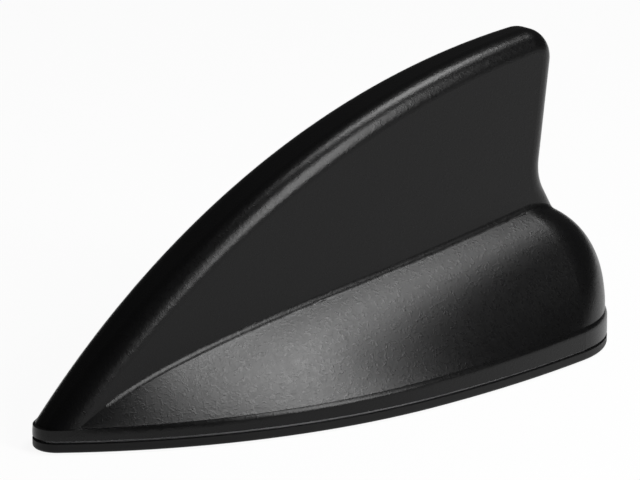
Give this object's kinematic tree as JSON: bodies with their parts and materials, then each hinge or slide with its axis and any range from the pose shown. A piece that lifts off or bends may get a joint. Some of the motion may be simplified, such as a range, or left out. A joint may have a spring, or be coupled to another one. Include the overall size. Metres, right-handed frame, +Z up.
{
  "type": "shark fin aerial",
  "caption": "Fin-shaped roof aerial: a grained black plastic cover on a rubber roof gasket, with a cast base and radio boards inside, bolted through the roof from below.",
  "frame": {"origin": "centre of the footprint on the roof, under the gasket", "axes": "+X from the nose to the tail, +Z up out of the roof, +Y to the side"},
  "size_m": [0.152, 0.0624, 0.0717],
  "materials": {
    "cover_plastic": "fine moulded grain, satin black",
    "gasket_rubber": "matte black rubber",
    "base_alloy": "as-cast grey",
    "seal_rubber": "matte dark rubber",
    "board_laminate": "green solder mask",
    "plated_strip": "bright tinned strip",
    "coil_copper": "enamelled copper wire",
    "patch_ceramic": "fired buff ceramic",
    "pad_foam": "pale adhesive foam",
    "can_steel": "tinned pressed steel",
    "chip_resin": "dark moulded resin",
    "contact_brass": "bright brass",
    "screw_steel": "zinc-plated steel"
  },
  "bodies": {
    "root": {"cover_shell": "cover_plastic", "roof_gasket": "gasket_rubber", "base_plate": "base_alloy", "perimeter_seal": "seal_rubber", "main_board": "board_laminate", "fin_board": "board_laminate", "top_load_plate": "plated_strip", "board_brackets": "plated_strip", "matching_coil": "coil_copper", "satellite_patch": "patch_ceramic", "patch_feed_pin": "contact_brass", "patch_pad": "pad_foam", "screening_can": "can_steel", "amplifier_chips": "chip_resin", "phone_element": "plated_strip", "coax_sockets": "contact_brass", "cable_grommet": "seal_rubber", "fixing_insert": "contact_brass", "cover_screws": "screw_steel", "board_screws": "screw_steel"}
  },
  "joints": []
}
